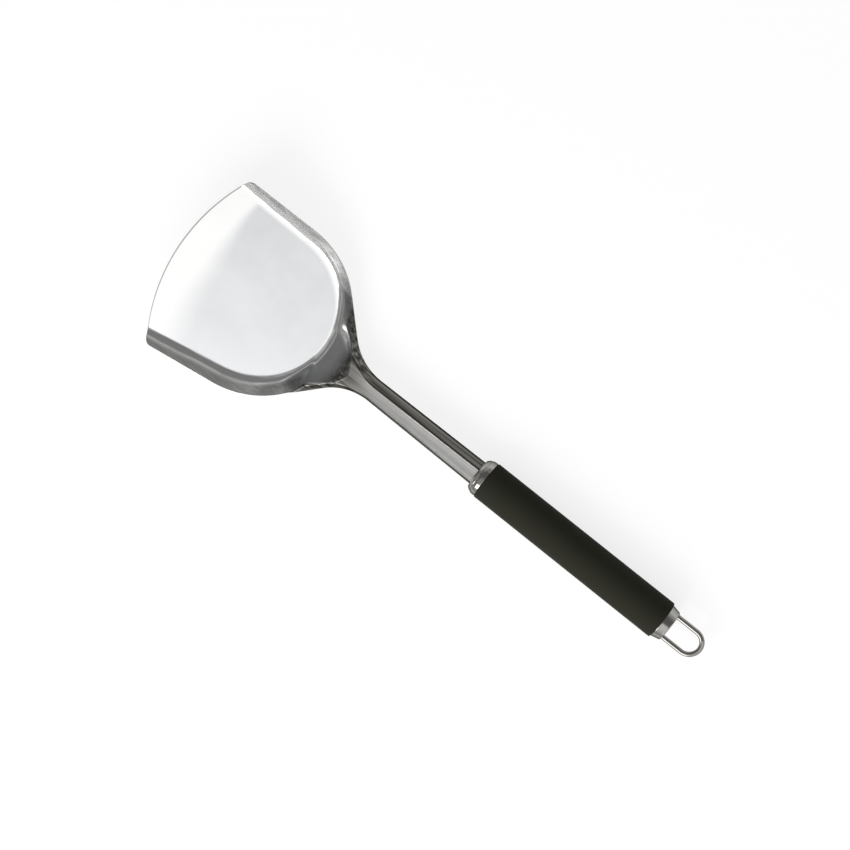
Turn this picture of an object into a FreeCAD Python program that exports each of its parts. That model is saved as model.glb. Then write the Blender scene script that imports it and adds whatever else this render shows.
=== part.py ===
import FreeCAD, Part
import math
import os
import Sketcher

# Wok-turner style grill spatula, millimetres.
# +X runs along the handle towards the hanging loop, +Z is up, the table is Z = 0 and the
# origin is under the middle of the whole tool. The blade lies towards -X and rises to its
# front edge; the grip and the heel of the blade rest on the table.

doc = FreeCAD.newDocument("grill_spatula")

# ---------------------------------------------------------------- driving dimensions
dimensions = {
    # rest pose and layout along X
    "axis_height": 11.75,       # handle axis above the table
    "heel_x": -88.06,           # rear point of the flat blade floor
    "heel_z": 0.625,            # upper face of the floor at that point
    "floor_pitch": 17.0,        # rise of the floor towards the front, degrees
    "floor_dressing": 0.05,     # ground off the underside so that the floor lies truly flat
    # blade, seen square to its floor
    "sheet_thick": 1.2,
    "blade_length": 103.6,      # floor from heel to the middle of the front edge
    "front_radius": 124.0,      # sweep of the front edge
    "corner_radius": 5.5,       # rounded front corners of the rims
    "floor_radius": 48.4,       # round back of the flat floor
    "side_spread": 5.7,         # floor sides open towards the front, degrees
    "rim_width": 7.0,           # rim seen from above, at the back
    "rim_spread": 3.7,          # outer rim edges open towards the front, degrees
    "rim_slope": 1.15,          # rise of the rim per millimetre outwards
    "bend_blend": 3.0,          # softness of the bend between floor and rim
    # web between blade and neck
    "web_angle": 48.0,          # run of the web edges, degrees to the handle
    "web_round": 32.5,          # hollow corner between web and neck
    "web_slope": 0.6,           # fall of the outer web faces at the blade
    "web_fall_x": -85.3,        # where they begin to steepen towards the neck
    "web_edge_x": -89.3,        # where their edge begins to rise towards the rims
    "web_edge_rise": 0.45,      # rise of that edge, per millimetre
    "web_edge_curve": 0.004,    # and its growth, per millimetre squared
    "edge_cover": 9.0,          # height of the rim edges over the floor's level
    "panel_radius": 13.0,       # rounded end of the pressed panel behind the floor
    "panel_x": -84.66,
    "panel_steepen": 0.8,       # extra rise behind that panel, beside its middle line
    "panel_ease": 0.25,         # share of it taken off again on the middle line
    "panel_full": 14.0,         # half width at which the extra rise is full
    "panel_fade_start": 18.0,   # half widths between which it dies out
    "panel_fade_end": 36.0,
    # neck: channel open underneath
    "neck_start_x": -56.66,
    "neck_half": 6.9,           # half width at the web
    "neck_flare": 0.55,         # widening towards the grip, degrees
    "neck_top": 18.65,          # upper face of the neck
    "neck_edge_z": 12.8,        # lower edge of the turned-down flanks
    "neck_slope": 1.95,         # fall of those flanks
    "neck_round": 2.0,          # bend radius between its top and flanks
    "ridge_blend": 2.5,         # softness of the ridges between blade and web
    "tip_blend": 1.2,           # softness where the ridges meet at the neck
    "tip_x": -75.0,             # where the one begins to pass into the other
    "tip_run": 15.0,            # and the length that this takes
    "tang_half": 3.3,           # flat tongue inside the grip
    "tang_end_x": 61.84,
    "tang_step_x": 30.84,
    # handle
    "grip_x": 33.44,            # front end of the grip sleeve
    "grip_length": 126.2,
    "grip_radius": 11.75,
    "grip_round": 0.7,
    "tube_radius": 10.2,
    "tube_wall": 1.0,
    "ferrule_length": 6.2,      # part of the ferrule in front of the grip
    "ferrule_mouth": 8.15,      # radius of the ferrule opening
    "ferrule_nose": 8.9,
    "ferrule_shoulder": 11.35,
    "ferrule_skirt": 7.0,       # part inside the tube
    "insert_length": 34.0,
    "pin_radius": 1.5,
    "pin_x": 51.84,
    "fit_gap": 0.05,            # clearance round slid-in pieces
    "cap_length": 5.6,
    "cap_radius": 10.7,
    "cap_end_radius": 9.6,
    "cap_wall": 1.2,
    "plug_length": 17.0,
    "wire_radius": 1.5,
    "loop_half": 7.45,          # wire axis to the middle of the loop
    "loop_straight": 13.3,      # straight legs behind the cap
    "hook_inset": 12.0,         # depth of the hooked wire ends behind the cap face
    "hook_length": 3.4,
    "hook_bend": 2.4,
}

sheet = doc.addObject("Spreadsheet::Sheet", "Sheet")
for rowNumber, (alias, value) in enumerate(dimensions.items(), start=1):
    sheet.set("A%d" % rowNumber, alias)
    sheet.set("B%d" % rowNumber, str(value))
    sheet.setAlias("B%d" % rowNumber, alias)
# a side sheet works out size texts, for the first drawing of each sketch
sideSheet = doc.addObject("Spreadsheet::Sheet", "SideSheet")
doc.recompute()


def size(alias):
    return float(getattr(sheet, alias))


# ---------------------------------------------------------------- small helpers
def addBody(name, xText="0", zText="Sheet.axis_height"):
    body = doc.addObject("PartDesign::Body", name)
    body.Label = name
    body.setExpression(".Placement.Base.x", xText)
    body.setExpression(".Placement.Base.z", zText)
    return body


def addSketch(body, name, role):
    sketch = body.newObject("Sketcher::SketchObject", name)
    plane = [item for item in body.Origin.OriginFeatures if item.Role == role][0]
    sketch.AttachmentSupport = [(plane, "")]
    sketch.MapMode = "FlatFace"
    return sketch


def bind(sketch, index, name, text):
    sketch.renameConstraint(index, name)
    sketch.setExpression("Constraints." + name, text)


def valueOf(text):
    # present value of a size text
    sideSheet.set("A1", "=" + text)
    sideSheet.recompute()
    return float(sideSheet.get("A1"))


def closedProfile(sketch, corners, arcs=None):
    # corners: list of (x text, y text); arcs: {index of side: (radius text, centre x, centre y)}
    arcs = arcs or {}
    points = [FreeCAD.Vector(valueOf(xText), valueOf(yText), 0) for xText, yText in corners]
    count = len(points)
    ends = []
    for index in range(count):
        first = points[index]
        last = points[(index + 1) % count]
        if index not in arcs:
            sketch.addGeometry(Part.LineSegment(first, last), False)
            ends.append((1, 2))
            continue
        middle = FreeCAD.Vector(valueOf(arcs[index][1]), valueOf(arcs[index][2]), 0)
        toFirst = first - middle
        toLast = last - middle
        turn = toFirst.x * toLast.y - toFirst.y * toLast.x
        start, stop = (toFirst, toLast) if turn > 0 else (toLast, toFirst)
        circle = Part.Circle(middle, FreeCAD.Vector(0, 0, 1), toFirst.Length)
        arc = Part.ArcOfCircle(circle, math.atan2(start.y, start.x), math.atan2(stop.y, stop.x))
        sketch.addGeometry(arc, False)
        ends.append((1, 2) if turn > 0 else (2, 1))
    for index in range(count):
        following = (index + 1) % count
        sketch.addConstraint(Sketcher.Constraint(
            "Coincident", index, ends[index][1], following, ends[following][0]))
    for index, (xText, yText) in enumerate(corners):
        point = ends[index][0]
        for kind, text, value in (("DistanceX", xText, points[index].x),
                                  ("DistanceY", yText, points[index].y)):
            number = sketch.addConstraint(Sketcher.Constraint(kind, index, point, value))
            if text != "0":
                bind(sketch, number, "%s_%d" % (kind[-1].lower(), index), text)
    for index, (radiusText, _, _) in arcs.items():
        number = sketch.addConstraint(Sketcher.Constraint("Radius", index, valueOf(radiusText)))
        bind(sketch, number, "radius_%d" % index, radiusText)


def revolve(body, sketch, name):
    turned = body.newObject("PartDesign::Revolution", name)
    turned.Profile = sketch
    turned.ReferenceAxis = (sketch, ["H_Axis"])
    turned.Angle = 360
    body.Tip = turned
    return turned


def addCircle(sketch, xText, yText, radiusText):
    middle = FreeCAD.Vector(valueOf(xText), valueOf(yText), 0)
    index = sketch.addGeometry(
        Part.Circle(middle, FreeCAD.Vector(0, 0, 1), valueOf(radiusText)), False)
    number = sketch.addConstraint(Sketcher.Constraint("Radius", index, valueOf(radiusText)))
    bind(sketch, number, "ring_%d" % index, radiusText)
    for kind, text, value in (("DistanceX", xText, middle.x), ("DistanceY", yText, middle.y)):
        number = sketch.addConstraint(Sketcher.Constraint(kind, index, 3, value))
        if text != "0":
            bind(sketch, number, "ring_%s_%d" % (kind[-1].lower(), index), text)
    return index


# ---------------------------------------------------------------- blade: cut outline
# Half of the flat blank, seen square to the blade floor: x runs back from the front edge.
blank = addBody("blank",
                "Sheet.heel_x - Sheet.blade_length * cos(Sheet.floor_pitch * 1deg)",
                "Sheet.heel_z + Sheet.blade_length * sin(Sheet.floor_pitch * 1deg)")
blank.Placement.Rotation = FreeCAD.Rotation(FreeCAD.Vector(0, 1, 0), size("floor_pitch"))
blank.setExpression(".Placement.Rotation.Angle", "Sheet.floor_pitch * 1deg")
outline = addSketch(blank, "blank_outline", "XY_Plane")

pitch = math.radians(size("floor_pitch"))
backCentre = size("blade_length") - size("floor_radius")
backRadius = size("floor_radius") + size("rim_width")


def blankX(x, z):
    # place along the blank of a point given in the part frame
    ahead = (size("heel_x") - x) * math.cos(pitch) + (z - size("heel_z")) * math.sin(pitch)
    return size("blade_length") - ahead


def vec(x, y):
    return FreeCAD.Vector(x, y, 0)


def arcBetween(centre, radius, first, last):
    circle = Part.Circle(centre, FreeCAD.Vector(0, 0, 1), radius)
    return Part.ArcOfCircle(circle, math.atan2(first.y - centre.y, first.x - centre.x),
                            math.atan2(last.y - centre.y, last.x - centre.x))


spread = math.radians(size("rim_spread"))
webAngle = math.radians(size("web_angle"))
flare = math.radians(size("neck_flare"))
rimNormal = vec(math.sin(spread), math.cos(spread))
rimBack = vec(backCentre, 0) + rimNormal * backRadius
# corner: its centre lies one corner radius inside both the rim line and the front arc
cornerRadius = size("corner_radius")
frontRadius = size("front_radius")
along = rimBack - rimNormal * cornerRadius
forward = vec(-math.cos(spread), math.sin(spread))
offset = along - vec(frontRadius, 0)
half = offset.dot(forward)
run = -half + math.sqrt(half ** 2 - offset.dot(offset) + (frontRadius - cornerRadius) ** 2)
cornerCentre = along + forward * run
rimFront = cornerCentre + rimNormal * cornerRadius
outward = cornerCentre - vec(frontRadius, 0)
frontCorner = cornerCentre + outward * (cornerRadius / outward.Length)
webNormal = vec(math.sin(webAngle), math.cos(webAngle))
webFront = vec(backCentre, 0) + webNormal * backRadius
stepX = blankX(size("tang_step_x"), size("neck_top"))
tangX = blankX(size("tang_end_x"), size("neck_top"))
neckX = blankX(size("neck_start_x"), size("neck_edge_z"))
stepHalf = size("neck_half") + (stepX - neckX) * math.tan(flare)
# hollow corner: centre one radius outside both the web line and the neck line
webRound = size("web_round")
neckNormal = vec(-math.sin(flare), math.cos(flare))
webPoint = webFront + webNormal * webRound
neckPoint = vec(stepX, stepHalf) + neckNormal * webRound
webRun = vec(math.cos(webAngle), -math.sin(webAngle))
neckRun = vec(-math.cos(flare), -math.sin(flare))
gap = neckPoint - webPoint
cross = webRun.x * neckRun.y - webRun.y * neckRun.x
hollowCentre = webPoint + webRun * ((gap.x * neckRun.y - gap.y * neckRun.x) / cross)
webBack = hollowCentre - webNormal * webRound
neckFront = hollowCentre - neckNormal * webRound

outline.addGeometry([
    arcBetween(vec(frontRadius, 0), frontRadius, frontCorner, vec(0, 0.0)),
    arcBetween(cornerCentre, cornerRadius, rimFront, frontCorner),
    Part.LineSegment(rimFront, rimBack),
    arcBetween(vec(backCentre, 0), backRadius, webFront, rimBack),
    Part.LineSegment(webFront, webBack),
    arcBetween(hollowCentre, webRound, webBack, neckFront),
    Part.LineSegment(neckFront, vec(stepX, stepHalf)),
    Part.LineSegment(vec(stepX, stepHalf), vec(stepX, size("tang_half"))),
    Part.LineSegment(vec(stepX, size("tang_half")), vec(tangX, size("tang_half"))),
    Part.LineSegment(vec(tangX, size("tang_half")), vec(tangX, 0)),
    Part.LineSegment(vec(tangX, 0), vec(0, 0)),
], False)
for pair in ((0, 1, 1, 2), (1, 1, 2, 1), (2, 2, 3, 2), (3, 1, 4, 1), (4, 2, 5, 1), (5, 2, 6, 1)):
    outline.addConstraint(Sketcher.Constraint("Tangent", *pair))
for pair in ((6, 2, 7, 1), (7, 2, 8, 1), (8, 2, 9, 1), (9, 2, 10, 1), (10, 2, 0, 2),
             (10, 2, -1, 1)):
    outline.addConstraint(Sketcher.Constraint("Coincident", *pair))
outline.addConstraint(Sketcher.Constraint("PointOnObject", 0, 3, -1))
outline.addConstraint(Sketcher.Constraint("PointOnObject", 3, 3, -1))
outline.addConstraint(Sketcher.Constraint("Vertical", 7))
outline.addConstraint(Sketcher.Constraint("Horizontal", 8))
outline.addConstraint(Sketcher.Constraint("Vertical", 9))
outline.addConstraint(Sketcher.Constraint("Horizontal", 10))
for name, rule, text in (
        ("front", Sketcher.Constraint("Radius", 0, frontRadius), "Sheet.front_radius"),
        ("corner", Sketcher.Constraint("Radius", 1, cornerRadius), "Sheet.corner_radius"),
        ("back", Sketcher.Constraint("Radius", 3, backRadius),
         "Sheet.floor_radius + Sheet.rim_width"),
        ("backPlace", Sketcher.Constraint("DistanceX", 3, 3, backCentre),
         "Sheet.blade_length - Sheet.floor_radius"),
        ("hollow", Sketcher.Constraint("Radius", 5, webRound), "Sheet.web_round"),
        ("tang", Sketcher.Constraint("DistanceY", 8, 1, size("tang_half")), "Sheet.tang_half"),
        ("rimLine", Sketcher.Constraint("Angle", 2, -spread), "-Sheet.rim_spread * 1deg"),
        ("webLine", Sketcher.Constraint("Angle", 4, -webAngle), "-Sheet.web_angle * 1deg"),
        ("neckLine", Sketcher.Constraint("Angle", 6, flare), "Sheet.neck_flare * 1deg"),
):
    bind(outline, outline.addConstraint(rule), name, text)
outline.addConstraint(Sketcher.Constraint("DistanceX", 6, 2, stepX))
outline.addConstraint(Sketcher.Constraint("DistanceY", 6, 2, stepHalf))
outline.addConstraint(Sketcher.Constraint("DistanceX", 8, 2, tangX))
doc.recompute()

blankPad = blank.newObject("PartDesign::Pad", "blank_half")
blankPad.Profile = outline
blankPad.Midplane = True
blankPad.setExpression("Length", "2 * Sheet.blade_length")
blank.Tip = blankPad
doc.recompute()
blankWhole = blank.newObject("PartDesign::Mirrored", "blank_whole")
blankWhole.Originals = [blankPad]
middlePlane = [item for item in blank.Origin.OriginFeatures if item.Role == "XZ_Plane"][0]
blankWhole.MirrorPlane = (middlePlane, [""])
blank.Tip = blankWhole
doc.recompute()


# ---------------------------------------------------------------- blade: pressed form
def softMin(a, b, blend):
    near = max(blend - abs(a - b), 0.0) / blend
    return min(a, b) - near * near * blend / 4


def softMax(a, b, blend):
    return -softMin(-a, -b, blend)


def bentMin(top, side, fall, radius):
    # a level top bent down into a falling side with a true arc
    angle = math.atan(fall)
    past = radius * math.tan(angle / 2) - (side - top) / fall
    if past <= 0:
        return top
    if past < radius * math.sin(angle):
        return top - radius + math.sqrt(radius ** 2 - past ** 2)
    return side


def ramp(value, start, stop):
    part = min(max((value - start) / (stop - start), 0.0), 1.0)
    return part * part * (3 - 2 * part)


def bendDistance(ahead, y):
    # distance outside the floor edge: a round back that runs on into straight sides
    angle = math.radians(size("side_spread"))
    fromCentre = ahead - size("floor_radius")
    if fromCentre < -math.tan(angle) * abs(y):
        return math.hypot(fromCentre, y) - size("floor_radius")
    return abs(y) * math.cos(angle) - fromCentre * math.sin(angle) - size("floor_radius")


def edgeHalf(place):
    # half width of the blank at a place along it
    if place < rimBack.x:
        return rimBack.y + (rimBack.x - place) * math.tan(spread)
    if place < webFront.x:
        return math.sqrt(backRadius ** 2 - (place - backCentre) ** 2)
    if place < webBack.x:
        return webFront.y - (place - webFront.x) * math.tan(webAngle)
    if place < neckFront.x:
        return hollowCentre.y - math.sqrt(webRound ** 2 - (place - hollowCentre.x) ** 2)
    return neckFront.y + (place - neckFront.x) * math.tan(flare)


def floorLevel(x):
    return size("heel_z") + (size("heel_x") - x) * math.tan(pitch)


def edgeLevel(x):
    # level the outer faces of web and neck fall to at the edge of the blank
    before = max(size("web_edge_x") - x, 0.0)
    rise = size("web_edge_rise") + size("web_edge_curve") * before
    return size("neck_edge_z") + rise * before


def edgeAt(x):
    # half width of the pressed sheet at x, allowing for the tilt of the blank
    rimLevel = max(size("neck_edge_z"), floorLevel(x) + size("edge_cover"))
    return edgeHalf(blankX(x, min(edgeLevel(x), rimLevel)))


def pressedLevel(x, y):
    # upper face of the sheet: floor and rims, cut down by the outer web faces, under the neck top
    beyond = bendDistance((size("heel_x") - x) / math.cos(pitch), y)
    level = floorLevel(x) + softMax(0, size("rim_slope") * beyond, size("bend_blend"))
    behind = math.hypot(x - size("panel_x"), y) - size("panel_radius")
    behind = softMax(0, softMin(beyond, behind, 2.0), 3.0)
    share = (1 + size("panel_ease")) * ramp(abs(y), 0, size("panel_full")) - size("panel_ease")
    share *= 1 - ramp(abs(y), size("panel_fade_start"), size("panel_fade_end"))
    level += size("panel_steepen") * behind * share
    fall = size("web_slope") + (size("neck_slope") - size("web_slope")) * ramp(
        x, size("web_fall_x"), size("neck_start_x"))
    outer = edgeLevel(x) + fall * (edgeAt(x) - abs(y))
    ridge = size("neck_top") + max(size("web_edge_x") - x, 0.0)
    top = bentMin(ridge, outer, fall, size("neck_round"))
    blend = size("ridge_blend") + (size("tip_blend") - size("ridge_blend")) * ramp(
        x, size("tip_x"), size("tip_x") + size("tip_run"))
    return softMin(top, level, blend)


def downward(x, y):
    # unit normal pointing out of the lower face
    step = 0.02
    slopeX = (pressedLevel(x + step, y) - pressedLevel(x - step, y)) / (2 * step)
    slopeY = (pressedLevel(x, y + step) - pressedLevel(x, y - step)) / (2 * step)
    normal = FreeCAD.Vector(slopeX, slopeY, -1)
    return normal.normalize()


def stations(limits):
    places = []
    for start, stop, count in limits:
        places += [start + (stop - start) * index / count for index in range(count)]
    return places + [limits[-1][1]]


frontX = size("heel_x") - size("blade_length") - 4
placesX = stations([(frontX, -104, 34), (-104, -52, 44), (-52, size("tang_end_x") + 4, 18)])
acrossCount = 96
upper = []
lower = []
for x in placesX:
    halfWidth = edgeAt(x) + 2.5
    upperRow = []
    lowerRow = []
    for index in range(acrossCount + 1):
        y = halfWidth * (2 * index / acrossCount - 1)
        point = FreeCAD.Vector(x, y, pressedLevel(x, y))
        upperRow.append(point)
        lowerRow.append(point + downward(x, y) * size("sheet_thick"))
    upper.append(upperRow)
    lower.append(lowerRow)


def surfaceThrough(rows):
    surface = Part.BSplineSurface()
    surface.interpolate(rows)
    return surface


upperSurface = surfaceThrough(upper)
lowerSurface = surfaceThrough(lower)
faces = [upperSurface.toShape(), lowerSurface.toShape()]
u0, u1, v0, v1 = upperSurface.bounds()
p0, p1, q0, q1 = lowerSurface.bounds()
for first, second in ((upperSurface.uIso(u0), lowerSurface.uIso(p0)),
                      (upperSurface.uIso(u1), lowerSurface.uIso(p1)),
                      (upperSurface.vIso(v0), lowerSurface.vIso(q0)),
                      (upperSurface.vIso(v1), lowerSurface.vIso(q1))):
    faces.append(Part.makeRuledSurface(first.toShape(), second.toShape(), 1))
shell = Part.makeShell(faces)
shell.sewShape()
solid = Part.makeSolid(Part.Shell(shell.Faces))
if solid.Volume < 0:
    solid.reverse()
pressed = doc.addObject("Part::Feature", "pressed_sheet")
pressed.Shape = solid

trimmed = doc.addObject("Part::MultiCommon", "trimmed_sheet")
trimmed.Shapes = [pressed, blank]
# everything under the plane of the dressed floor is taken off, which leaves a true flat
below = doc.addObject("Part::Box", "below_floor")
below.Placement.Rotation = FreeCAD.Rotation(FreeCAD.Vector(0, 1, 0), size("floor_pitch"))
below.setExpression(".Placement.Rotation.Angle", "Sheet.floor_pitch * 1deg")
below.setExpression("Length", "1.3 * Sheet.blade_length")
below.setExpression("Width", "2 * Sheet.blade_length")
below.setExpression("Height", "10 * Sheet.sheet_thick")
aheadText = "(1.1 * Sheet.blade_length)"
depthText = "(11 * Sheet.sheet_thick - Sheet.floor_dressing)"
below.setExpression(".Placement.Base.x", "Sheet.heel_x - %s * cos(Sheet.floor_pitch * 1deg)"
                    " - %s * sin(Sheet.floor_pitch * 1deg)" % (aheadText, depthText))
below.setExpression(".Placement.Base.y", "-Sheet.blade_length")
below.setExpression(".Placement.Base.z", "Sheet.heel_z + %s * sin(Sheet.floor_pitch * 1deg)"
                    " - %s * cos(Sheet.floor_pitch * 1deg)" % (aheadText, depthText))
dressed = doc.addObject("Part::Cut", "dressed_sheet")
dressed.Base = trimmed
dressed.Tool = below
pinHole = doc.addObject("Part::Cylinder", "tang_hole")
pinHole.setExpression("Radius", "Sheet.pin_radius + 2 * Sheet.fit_gap")
pinHole.setExpression("Height", "6 * Sheet.sheet_thick")
pinHole.setExpression(".Placement.Base.x", "Sheet.pin_x")
pinHole.setExpression(".Placement.Base.z", "Sheet.neck_top - 3 * Sheet.sheet_thick")
blade = doc.addObject("Part::Cut", "blade")
blade.Label = "blade"
blade.Base = dressed
blade.Tool = pinHole

# ---------------------------------------------------------------- front ferrule
# turned collar: open mouth round the neck, domed shoulder, skirt inside the tube
ferrule = addBody("front_ferrule", "Sheet.grip_x - Sheet.ferrule_length")
profile = addSketch(ferrule, "ferrule_profile", "XY_Plane")
domeText = ("((Sheet.ferrule_length - 1.4)^2 / (Sheet.ferrule_shoulder - Sheet.ferrule_nose)"
            " + Sheet.ferrule_shoulder - Sheet.ferrule_nose) / 2")
closedProfile(profile, [
    ("0", "Sheet.ferrule_mouth"),
    ("0", "Sheet.ferrule_nose"),
    ("Sheet.ferrule_length - 1.4", "Sheet.ferrule_shoulder"),
    ("Sheet.ferrule_length", "Sheet.ferrule_shoulder"),
    ("Sheet.ferrule_length", "Sheet.tube_radius - Sheet.tube_wall"),
    ("Sheet.ferrule_length + Sheet.ferrule_skirt", "Sheet.tube_radius - Sheet.tube_wall"),
    ("Sheet.ferrule_length + Sheet.ferrule_skirt", "Sheet.ferrule_mouth"),
], {1: (domeText, "Sheet.ferrule_length - 1.4", "Sheet.ferrule_shoulder - (%s)" % domeText)})
doc.recompute()
revolve(ferrule, profile, "ferrule_ring")
ringCut = addSketch(ferrule, "ring_line", "XY_Plane")
closedProfile(ringCut, [
    ("2.1", "Sheet.ferrule_shoulder - 1.25"),
    ("2.1", "Sheet.ferrule_shoulder + 1"),
    ("2.6", "Sheet.ferrule_shoulder + 1"),
    ("2.6", "Sheet.ferrule_shoulder - 1.25"),
])
doc.recompute()
ringLine = ferrule.newObject("PartDesign::Groove", "ring_groove")
ringLine.Profile = ringCut
ringLine.ReferenceAxis = (ringCut, ["H_Axis"])
ringLine.Angle = 360
ferrule.Tip = ringLine

# ---------------------------------------------------------------- tube and grip
tube = addBody("core_tube", "Sheet.grip_x")
tubeSketch = addSketch(tube, "tube_rings", "YZ_Plane")
addCircle(tubeSketch, "0", "0", "Sheet.tube_radius")
addCircle(tubeSketch, "0", "0", "Sheet.tube_radius - Sheet.tube_wall")
tubePad = tube.newObject("PartDesign::Pad", "tube_length")
tubePad.Profile = tubeSketch
tubePad.setExpression("Length", "Sheet.grip_length")
tube.Tip = tubePad

grip = addBody("grip_sleeve", "Sheet.grip_x")
gripSketch = addSketch(grip, "grip_rings", "YZ_Plane")
addCircle(gripSketch, "0", "0", "Sheet.grip_radius")
addCircle(gripSketch, "0", "0", "Sheet.tube_radius")
gripPad = grip.newObject("PartDesign::Pad", "grip_length")
gripPad.Profile = gripSketch
gripPad.setExpression("Length", "Sheet.grip_length")
grip.Tip = gripPad
doc.recompute()
rimEdges = ["Edge%d" % (number + 1) for number, edge in enumerate(gripPad.Shape.Edges)
            if hasattr(edge.Curve, "Radius") and abs(edge.Curve.Radius - size("grip_radius")) < 0.01]
gripRound = grip.newObject("PartDesign::Fillet", "grip_round")
gripRound.Base = (gripPad, rimEdges)
gripRound.setExpression("Radius", "Sheet.grip_round")
grip.Tip = gripRound

# ---------------------------------------------------------------- insert that holds the tang
insert = addBody("tang_insert", "Sheet.grip_x - Sheet.ferrule_length + 1")
insertSketch = addSketch(insert, "insert_profile", "XY_Plane")
closedProfile(insertSketch, [
    ("0", "0"),
    ("0", "Sheet.ferrule_mouth - Sheet.fit_gap"),
    ("Sheet.ferrule_length + Sheet.ferrule_skirt - 0.9", "Sheet.ferrule_mouth - Sheet.fit_gap"),
    ("Sheet.ferrule_length + Sheet.ferrule_skirt - 0.9",
     "Sheet.tube_radius - Sheet.tube_wall - Sheet.fit_gap"),
    ("Sheet.insert_length", "Sheet.tube_radius - Sheet.tube_wall - Sheet.fit_gap"),
    ("Sheet.insert_length", "0"),
])
doc.recompute()
revolve(insert, insertSketch, "insert_plug")


def cutFrom(body, sketch, name, lengthText, through=False, reverse=False):
    pocket = body.newObject("PartDesign::Pocket", name)
    pocket.Profile = sketch
    if through:
        pocket.Type = "ThroughAll"
    else:
        pocket.setExpression("Length", lengthText)
    pocket.Reversed = reverse
    body.Tip = pocket
    return pocket


seatDepth = "Sheet.tang_step_x - Sheet.grip_x + Sheet.ferrule_length - 0.9"
flankGap = "2.5 * Sheet.fit_gap"
edgeText = "(Sheet.neck_edge_z - Sheet.axis_height)"
topText = "(Sheet.neck_top - Sheet.axis_height)"
widthText = "(Sheet.neck_half + (Sheet.tang_step_x - Sheet.neck_start_x) * tan(Sheet.neck_flare * 1deg))"
seat = addSketch(insert, "channel_seat", "YZ_Plane")
riseText = "(Sheet.neck_top - Sheet.neck_edge_z) / Sheet.neck_slope"
closedProfile(seat, [
    ("-(%s + 2 * %s)" % (widthText, flankGap), edgeText + " - 0.15"),
    ("%s + 2 * %s" % (widthText, flankGap), edgeText + " - 0.15"),
    ("%s - %s + %s" % (widthText, riseText, flankGap), topText + " + 0.1"),
    ("-(%s - %s + %s)" % (widthText, riseText, flankGap), topText + " + 0.1"),
])
doc.recompute()
cutFrom(insert, seat, "seat_cut", seatDepth, reverse=True)
core = addSketch(insert, "channel_core", "YZ_Plane")
closedProfile(core, [
    ("-(%s - 1.2 * Sheet.sheet_thick - 0.2)" % widthText, edgeText + " - 0.3"),
    ("%s - 1.2 * Sheet.sheet_thick - 0.2" % widthText, edgeText + " - 0.3"),
    ("%s - %s - 1.2 * Sheet.sheet_thick" % (widthText, riseText),
     topText + " - Sheet.sheet_thick - 0.3"),
    ("-(%s - %s - 1.2 * Sheet.sheet_thick)" % (widthText, riseText),
     topText + " - Sheet.sheet_thick - 0.3"),
])
doc.recompute()
corePad = insert.newObject("PartDesign::Pad", "core_pad")
corePad.Profile = core
corePad.setExpression("Length", seatDepth + " + 0.5")
insert.Tip = corePad
doc.recompute()
slot = addSketch(insert, "tang_slot", "YZ_Plane")
closedProfile(slot, [
    ("-(Sheet.tang_half + 0.1)", topText + " - Sheet.sheet_thick - 0.1"),
    ("Sheet.tang_half + 0.1", topText + " - Sheet.sheet_thick - 0.1"),
    ("Sheet.tang_half + 0.1", topText + " + 0.1"),
    ("-(Sheet.tang_half + 0.1)", topText + " + 0.1"),
])
doc.recompute()
cutFrom(insert, slot, "slot_cut", "", through=True, reverse=True)
bore = addSketch(insert, "pin_bore", "XY_Plane")
addCircle(bore, "Sheet.pin_x - Sheet.grip_x + Sheet.ferrule_length - 1", "0",
          "Sheet.pin_radius + Sheet.fit_gap")
boreCut = cutFrom(insert, bore, "bore_cut", "", through=True)
boreCut.Midplane = True

pin = doc.addObject("Part::Cylinder", "tang_pin")
pin.Label = "tang_pin"
pin.setExpression("Radius", "Sheet.pin_radius")
pin.setExpression("Height", "2 * (Sheet.tube_radius - Sheet.tube_wall) - 0.8")
pin.setExpression(".Placement.Base.x", "Sheet.pin_x")
pin.setExpression(".Placement.Base.z", "Sheet.axis_height - Sheet.tube_radius + Sheet.tube_wall + 0.4")

# ---------------------------------------------------------------- end cap
cap = addBody("end_cap", "Sheet.grip_x + Sheet.grip_length")
capSketch = addSketch(cap, "cap_profile", "XY_Plane")
closedProfile(capSketch, [
    ("0", "Sheet.tube_radius - Sheet.tube_wall - 0.15"),
    ("0", "Sheet.cap_radius"),
    ("Sheet.cap_length - 0.8", "Sheet.cap_end_radius"),
    ("Sheet.cap_length", "Sheet.cap_end_radius - 0.8"),
    ("Sheet.cap_length", "0"),
    ("Sheet.cap_length - Sheet.cap_wall", "0"),
    ("Sheet.cap_length - Sheet.cap_wall", "Sheet.tube_radius - Sheet.tube_wall - 0.15"),
], {2: ("0.8", "Sheet.cap_length - 0.8", "Sheet.cap_end_radius - 0.8")})
doc.recompute()
revolve(cap, capSketch, "cap_cup")
holes = addSketch(cap, "wire_holes", "YZ_Plane")
addCircle(holes, "Sheet.loop_half", "0", "Sheet.wire_radius + Sheet.fit_gap")
addCircle(holes, "-Sheet.loop_half", "0", "Sheet.wire_radius + Sheet.fit_gap")
cutFrom(cap, holes, "holes_cut", "", through=True, reverse=True)

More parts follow.
